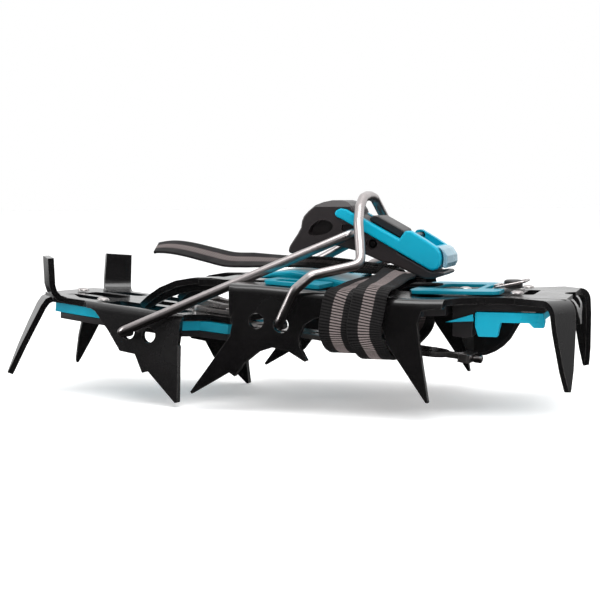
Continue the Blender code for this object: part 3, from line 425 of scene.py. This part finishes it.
# node: (finish, bevel width in mm)
COAT = {"front_frame": ("black_coat", 0.28), "heel_frame": ("black_coat", 0.28)}
WIRES = {n: ("drawn_wire", None) for n in ("toe_bail", "heel_wire", "clip_loop")}
STAMPED = {n: ("stamped_steel", 0.15) for n in (
    "linking_bar", "bar_tee_end", "bar_end_screw", "clip_bracket", "lock_base", "lock_lever",
    *("front_rivet_%d" % i for i in range(1, 6)), *("heel_rivet_%d" % i for i in range(1, 5)),
    "lock_rivet_1", "lock_rivet_2")}
PLASTIC = {
    "lever_cross_pin": ("burnished_pin", 0.15), "lever_tail_pin": ("burnished_pin", 0.15),
    "lever_body": ("lever_grey", 1.3), "lever_insert": ("turquoise_shell", 0.6),
    "lever_slider": ("slider_grey", 0.25), "lever_end_cap": ("pale_end", 0.7),
    "front_dome": ("turquoise_pad", 1.4), "front_top_pad_near": ("turquoise_pad", 0.25),
    "front_top_pad_far": ("turquoise_pad", 0.25), "rear_top_pad": ("turquoise_pad", 0.25),
    "rear_antiball_inlay": ("turquoise_shell", 0.3), "rear_wedge_near": ("turquoise_shell", 0.1),
    "rear_wedge_far": ("turquoise_shell", 0.1), "heel_antiball_top": ("turquoise_pad", 0.3),
    "front_antiball": ("plate_grey", 0.3), "rear_antiball": ("plate_grey", 0.3),
    "heel_antiball_base": ("plate_grey", 0.3), "antiball_bellows": ("soft_black", 1.2),
    "lock_button": ("plate_grey", 0.2), "clip_knob": ("plate_grey", 0.2)}
# moulded parts with curved outlines: even their gentle corners are rounded, and more finely
CURVED = {"lever_body", "lever_insert", "lever_end_cap", "antiball_bellows", "front_dome"}
for name, (skin_name, width) in {**COAT, **WIRES, **STAMPED, **PLASTIC}.items():
    part = frame["nodes"][name]
    if name in CURVED:
        soften(part, width, angle=GENTLE, segments=3)
    else:
        soften(part, width)
    for worn_by in part.material_slots:
        worn_by.material = FINISHES[skin_name]
print("solid parts finished:", len(COAT) + len(WIRES) + len(STAMPED) + len(PLASTIC))


# %% [markdown]
# ## Strap
# The ankle strap is woven webbing, 13 mm wide, black with a grey stripe down its middle.
# Webbing is not a smooth band: each crossing thread makes a fine rib, and the woven edges are a
# little thicker. So the strap is swept along its route as a flat section whose thickness rises
# and falls at the pitch of the ribs. The stripe is colour, taken from how far across the band a
# point lies, which the sweep writes into the UV map.

# %% Webbing finish
RIB_PITCH = 1.05                              # mm between crossing threads
STRIPE = (0.335, 0.665)                       # share of the width that the grey stripe covers
STRIPE_BLUR = 0.012                           # share of the width over which its edges fade
CORDS = 11                                    # raised cords across the width
UV_MM = 10.0                                  # mm of webbing for each unit of its UV map

webbing, b_in, b_out = effect("webbing_threads",
                              {"Ribs": 2 * math.pi * UV_MM / RIB_PITCH, "Cords": 2 * math.pi * CORDS},
                              ["Height", "Stripe", "Shade", "Rib"])
uv = node(webbing, "UVMap", uv_map="weave")
axes = node(webbing, "SeparateXYZ")
across = node(webbing, "Math", operation="MULTIPLY")
cords = node(webbing, "Math", operation="SINE")
wobble = node(webbing, "TexNoise", Scale=55.0, Detail=3.0)
edge_lo = node(webbing, "MapRange",
               From_Min=STRIPE[0] - STRIPE_BLUR, From_Max=STRIPE[0] + STRIPE_BLUR)
edge_hi = node(webbing, "MapRange",
               From_Min=STRIPE[1] - STRIPE_BLUR, From_Max=STRIPE[1] + STRIPE_BLUR,
               To_Min=1.0, To_Max=0.0)
stripe = node(webbing, "Math", operation="MULTIPLY")
turn_of = node(webbing, "Math", operation="MULTIPLY")
crest = node(webbing, "Math", operation="COSINE")
thread = node(webbing, "MapRange", From_Min=-0.9, From_Max=0.5, To_Min=0.0, To_Max=1.0)
wire_up(webbing, (uv.outputs[0], axes.inputs[0]), (axes.outputs["X"], across.inputs[0]),
        (b_in.outputs["Cords"], across.inputs[1]), (across.outputs[0], cords.inputs[0]),
        (axes.outputs["X"], edge_lo.inputs["Value"]), (axes.outputs["X"], edge_hi.inputs["Value"]),
        (edge_lo.outputs[0], stripe.inputs[0]), (edge_hi.outputs[0], stripe.inputs[1]),
        (axes.outputs["Y"], turn_of.inputs[0]), (b_in.outputs["Ribs"], turn_of.inputs[1]),
        (turn_of.outputs[0], crest.inputs[0]), (crest.outputs[0], thread.inputs["Value"]),
        (thread.outputs[0], b_out.inputs["Rib"]),
        (uv.outputs[0], wobble.inputs["Vector"]), (cords.outputs[0], b_out.inputs["Height"]),
        (stripe.outputs[0], b_out.inputs["Stripe"]), (wobble.outputs[0], b_out.inputs["Shade"]))


GAP_PAINTED_SHADE = 0.22                              # painted shade: the gaps' share of the black threads' colour, darkened as if shade fell between the ribs


def web_finish(name, dark, light, grey, grey_dark):
    """Webbing: dark and light are its black threads, grey and grey_dark the stripe's. The gaps
    between ribs get painted shade: their colour is darkened where shade would fall."""
    mat = bpy.data.materials.new(name)
    mat.use_nodes = True
    tree = mat.node_tree
    skin = tree.nodes["Principled BSDF"]
    skin.inputs["Sheen Weight"].default_value = 0.03
    skin.inputs["Sheen Roughness"].default_value = 0.4
    skin.inputs["Specular IOR Level"].default_value = 0.18
    threads = placed(tree, webbing)
    fuzz = placed(tree, grain, Scale=2600.0, Patch=160.0)
    black = node(tree, "Mix", data_type="RGBA")
    black.inputs[6].default_value, black.inputs[7].default_value = (*dark, 1), (*light, 1)
    stripe_mix = node(tree, "Mix", data_type="RGBA")
    stripe_mix.inputs[6].default_value = (*grey_dark, 1)
    stripe_mix.inputs[7].default_value = (*grey, 1)
    whole = node(tree, "Mix", data_type="RGBA")
    # painted shade: the colour between the ribs is darkened by the rib mask, as if shade fell there
    between = node(tree, "Mix", data_type="RGBA")
    between.inputs[6].default_value = (*(GAP_PAINTED_SHADE * c for c in dark), 1)
    gloss = node(tree, "MapRange", From_Min=0.3, From_Max=0.7, To_Min=0.6, To_Max=0.85)
    relief_of = node(tree, "Math", operation="MULTIPLY_ADD")
    relief_of.inputs[1].default_value = 0.5
    relief = node(tree, "Bump", Strength=0.45, Distance=0.00012)
    wire_up(tree, (threads.outputs["Shade"], black.inputs[0]),
            (fuzz.outputs["Height"], stripe_mix.inputs[0]),
            (threads.outputs["Stripe"], whole.inputs[0]), (black.outputs[2], whole.inputs[6]),
            (stripe_mix.outputs[2], whole.inputs[7]), (whole.outputs[2], between.inputs[7]),
            (threads.outputs["Rib"], between.inputs[0]),
            (between.outputs[2], skin.inputs["Base Color"]),
            (fuzz.outputs["Mask"], gloss.inputs["Value"]), (gloss.outputs[0], skin.inputs["Roughness"]),
            (threads.outputs["Height"], relief_of.inputs[0]),
            (fuzz.outputs["Height"], relief_of.inputs[2]),
            (relief_of.outputs[0], relief.inputs["Height"]), (relief.outputs[0], skin.inputs["Normal"]))
    return mat


WEB = web_finish("striped_webbing", (0.006, 0.0055, 0.006), (0.022, 0.02, 0.0205),
                 (0.26, 0.215, 0.21), (0.14, 0.115, 0.112))
print("webbing finish:", WEB.name)

# %% Sweeping a band along its route
BAND_W, BAND_T = 13.0, 0.92                   # mm, between the ribs
RIB_RISE = 0.36                               # mm more on the ribs
EDGE_NIP = 0.09                               # mm that the woven edge draws in between ribs
SLANT_REACH = 9.0                             # mm of the end over which a slanted cut builds up
STATIONS_PER_RIB = 4
SPLINE_STEPS = 24                             # fine steps between two points of a route
# half outline of the section: (share across from -1 to 1, share of half the thickness)
SECTION = [(-1.0, 0.0), (-0.985, 0.62), (-0.95, 0.95), (-0.9, 1.05), (-0.84, 1.0), (-0.6, 0.97),
           (-0.36, 1.0), (-0.33, 0.9), (-0.3, 1.0), (-0.1, 1.0), (0.1, 1.0), (0.3, 1.0),
           (0.33, 0.9), (0.36, 1.0), (0.6, 0.97), (0.84, 1.0), (0.9, 1.05), (0.95, 0.95),
           (0.985, 0.62), (1.0, 0.0)]


def smooth_route(points, spacing):
    """Even stations along a smooth curve through points: (place, distance, share of the way)."""
    pts = [Vector(p) for p in points]
    ends = [pts[0] * 2 - pts[1], *pts, pts[-1] * 2 - pts[-2]]
    dense = []
    for k in range(len(pts) - 1):
        p0, p1, p2, p3 = ends[k:k + 4]
        for i in range(SPLINE_STEPS):
            t = i / SPLINE_STEPS
            spot = 0.5 * (2 * p1 + (p2 - p0) * t + (2 * p0 - 5 * p1 + 4 * p2 - p3) * t * t
                          + (3 * p1 - p0 - 3 * p2 + p3) * t ** 3)
            dense.append((spot, k + t))
    dense.append((pts[-1], len(pts) - 1.0))
    run = [0.0]
    for a, b in zip(dense, dense[1:]):
        run.append(run[-1] + (b[0] - a[0]).length)
    count = max(2, round(run[-1] / spacing))
    out, k = [], 0
    for i in range(count + 1):
        want = run[-1] * i / count
        while k < len(run) - 2 and run[k + 1] < want:
            k += 1
        part = (want - run[k]) / max(run[k + 1] - run[k], 1e-9)
        out.append((dense[k][0].lerp(dense[k + 1][0], part), want,
                    dense[k][1] + (dense[k + 1][1] - dense[k][1]) * part))
    return out


def skin_rings(bm, layer, rings, cap_uv=None):
    """Joins rings of (vertex, u, v) into a closed tube. cap_uv: one UV for both end faces."""
    for a, b in zip(rings, rings[1:]):
        for i in range(len(a)):
            j = (i + 1) % len(a)
            face = bm.faces.new((a[i][0], a[j][0], b[j][0], b[i][0]))
            face.smooth = True
            for loop, corner in zip(face.loops, (a[i], a[j], b[j], b[i])):
                loop[layer].uv = corner[1:]
    for ring, flip in ((rings[0], True), (rings[-1], False)):
        rim = [corner[0] for corner in ring]
        face = bm.faces.new(rim[::-1] if flip else rim)
        if cap_uv:
            for loop in face.loops:
                loop[layer].uv = cap_uv
    bmesh.ops.recalc_face_normals(bm, faces=bm.faces)


def made_of(bm, name, finish):
    """An object from a bmesh, linked to the scene with one material."""
    me = bpy.data.meshes.new(name)
    bm.to_mesh(me)
    bm.free()
    made = bpy.data.objects.new(name, me)
    bpy.context.scene.collection.objects.link(made)
    me.materials.append(finish)
    return made


def weave_band(name, points, widths_dir, slant=0.0):
    """Sweeps webbing along points (mm, drawing frame). slant cuts its end at an angle, in mm."""
    stations = smooth_route(points, RIB_PITCH / STATIONS_PER_RIB)
    bm = bmesh.new()
    layer = bm.loops.layers.uv.new("weave")
    rings, total = [], stations[-1][1]
    for i, (spot, run, share) in enumerate(stations):
        before = stations[max(i - 1, 0)][0]
        after = stations[min(i + 1, len(stations) - 1)][0]
        along = (after - before).normalized()
        k = min(int(share), len(widths_dir) - 2)
        w = Vector(widths_dir[k]).lerp(Vector(widths_dir[k + 1]), share - k)
        w = (w - along * w.dot(along)).normalized()
        up = along.cross(w).normalized()
        rib = 0.5 + 0.5 * math.cos(2 * math.pi * run / RIB_PITCH)
        half_t = BAND_T / 2 + RIB_RISE / 2 * rib
        near_end = max(0.0, (run - total + SLANT_REACH) / SLANT_REACH)
        ring = []
        for side in (1, -1):
            line = SECTION if side == 1 else SECTION[-2:0:-1]
            for x, y in line:
                pull = slant * (1 - x) / 2 * near_end
                edge_out = EDGE_NIP * rib if abs(x) > 0.97 else 0.0
                p = spot + w * (x * (BAND_W / 2 - EDGE_NIP + edge_out)) \
                    + up * (side * y * half_t) - along * pull
                ring.append((bm.verts.new((p + ROW_SHIFT) * MM), (x + 1) / 2, run / UV_MM))
        rings.append(ring)
    skin_rings(bm, layer, rings, cap_uv=(0.02, 0.0))
    return made_of(bm, name, WEB), total


W2, W1 = 29.7, 17.2                           # middles of the two turns, mm along the crampon
# each stop: where the band's middle runs, and which way its width points
ROUTE = [((34.2, -13.0, 45.1), (0.97, -0.04, -0.24)), ((34.0, -16.5, 44.9), (0.96, -0.12, -0.22)),
         ((33.7, -22, 44.2), (0.97, -0.2, -0.16)), ((33.2, -30, 43.0), (0.98, -0.15, -0.14)),
         ((32.8, -37, 42.1), (1, -0.06, -0.12)), ((32.2, -42.6, 41.5), (1, 0, -0.08)),
         ((31.5, -45.9, 39.4), (1, 0, 0)), ((30.8, -46.6, 35.8), (1, 0, 0)),
         ((29.9, -46.7, 31.5), (1, 0, 0)), ((29.2, -46.6, 27.5), (1, 0, 0)),
         ((29.2, -45.4, 23.2), (1, 0, 0)), ((30.2, -41.4, 18.7), (1, 0, 0)),
         ((30.0, -34, 15.3), (1, 0, 0)), ((W2, -24, 13.5), (1, 0, 0)),
         ((W2, -4, 13.4), (1, 0, 0)), ((W2, 14, 14.6), (1, 0, 0)), ((W2, 34, 17.0), (1, 0, 0)),
         ((W2, 43.5, 20.2), (1, 0, 0)), ((W2, 46.8, 25), (1, 0, 0)), ((W2, 47, 34), (1, 0, 0)),
         ((W2, 45.8, 39.2), (1, 0, 0)), ((29.2, 41.5, 41.6), (1, 0, 0)),
         ((27.0, 22, 42.1), (1, 0.1, 0)),
         ((24.6, 0, 42.4), (1, 0.12, 0)), ((23.0, -22, 41.9), (1, 0.08, 0)),
         ((21.9, -36, 40.7), (1, 0.06, 0)), ((21.1, -41.0, 40.1), (1, 0.04, 0)),
         ((20.2, -43.8, 38.4), (1, 0, 0)), ((19.2, -44.5, 35.2), (1, 0, 0)),
         ((18.5, -44.6, 31.5), (1, 0, 0)), ((17.9, -44.5, 28), (1, 0, 0)),
         ((17.5, -43.3, 24.4), (1, 0, 0)), ((17.6, -39.6, 20.4), (1, 0, 0)),
         ((17.4, -34, 17.6), (1, 0, 0)), ((W1, -24, 15.4), (1, 0, 0)),
         ((W1, -4, 15.1), (1, 0, 0)), ((W1, 16, 16.4), (1, 0, 0)), ((W1, 36, 19.6), (1, 0, 0)),
         ((W1, 44.6, 24), (1, 0, 0)), ((W1, 47, 31), (1, 0, 0)), ((W1, 46.4, 38), (1, 0, 0)),
         ((16.6, 42.8, 42.3), (1, 0, 0)), ((15.4, 34, 43.9), (1, 0, 0)), ((14.6, 26, 44.4), (1, 0, 0))]
TAIL = [(29.5, 0.8, 45.4, 8), (20, 0.6, 45.9, 13), (8, 0.4, 47.1, 17), (-2, 0.2, 48.1, 15),
        (-14, 0, 48.3, 14.5), (-23, 0, 48.5, 18), (-32, 0, 48.7, 23), (-41, 0, 48.9, 23),
        (-50, 0, 50.8, 22), (-59, 0, 52.8, 21), (-66, 0, 53.8, 20), (-71, 0, 53.8, 19),
        (-75.5, 0, 53.2, 18)]              # the last number is its lean toward the near side, degrees
turns, turns_len = weave_band("webbing_turns", [p for p, _ in ROUTE], [w for _, w in ROUTE])
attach(turns, "front_section")
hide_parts("strap_wraps")
leans = [math.radians(p[3]) for p in TAIL]
tail, tail_len = weave_band("webbing_tail", [p[:3] for p in TAIL],
                            [(0, math.cos(a), math.sin(a)) for a in leans], slant=2.6)
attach(tail, "front_section")
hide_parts("strap_tail")
print("strap lengths, mm: turns %.0f, tail %.0f" % (turns_len, tail_len))

# %% [markdown]
# ## Strap flap
# A short doubled end of webbing lies under the lever's tail, rounded and sewn flat. It is a thin
# tongue, so it is drawn as an outline, thickened, and given the same weave with no stripe.

# %% Flap
FLAP = web_finish("plain_webbing", (0.008, 0.0075, 0.008), (0.018, 0.017, 0.017),
                  (0.02, 0.018, 0.018), (0.012, 0.011, 0.011))
FLAP_ROUND = 0.0055                           # m, radius of its rounded end
FLAP_INSET = 0.0001                           # m that it stays inside the CAD solid
FLAP_TOP = 0.00008                            # m that the gaps between its ribs lie below the CAD top
FLAP_RIB = 0.00007                            # m, height of its ribs
TIP_WIDTH = 0.0004                            # m, half width at the very tip
ACROSS, ALONG = 8, 60                         # strips across and along

low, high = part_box("strap_flap")
bm = bmesh.new()
layer = bm.loops.layers.uv.new("weave")
half_w = (high.y - low.y) / 2 - FLAP_INSET
mid_y = (high.y + low.y) / 2
rows = []
for i in range(ALONG + 1):
    x = low.x + (high.x - low.x - FLAP_INSET) * i / ALONG
    toward_end = (high.x - x) / FLAP_ROUND
    reach = half_w * (math.sqrt(max(0.0, 1 - (1 - toward_end) ** 2)) if toward_end < 1 else 1.0)
    reach = max(reach, TIP_WIDTH)
    rib = FLAP_RIB * (0.5 + 0.5 * math.cos(2 * math.pi * x / (RIB_PITCH * MM)))
    row = []
    for side, z in ((1, high.z - FLAP_TOP + rib), (-1, low.z + FLAP_INSET - rib)):
        for k in range(ACROSS + 1) if side == 1 else range(ACROSS, -1, -1):
            y = -1 + 2 * k / ACROSS
            row.append((bm.verts.new((x, mid_y + y * reach, z)), (y + 1) / 2, x / (UV_MM * MM)))
    rows.append(row)
skin_rings(bm, layer, rows)
flap = made_of(bm, "webbing_flap", FLAP)
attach(flap, "front_section")
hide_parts("strap_flap")
print("flap, mm:", [round(v / MM, 1) for v in high - low])
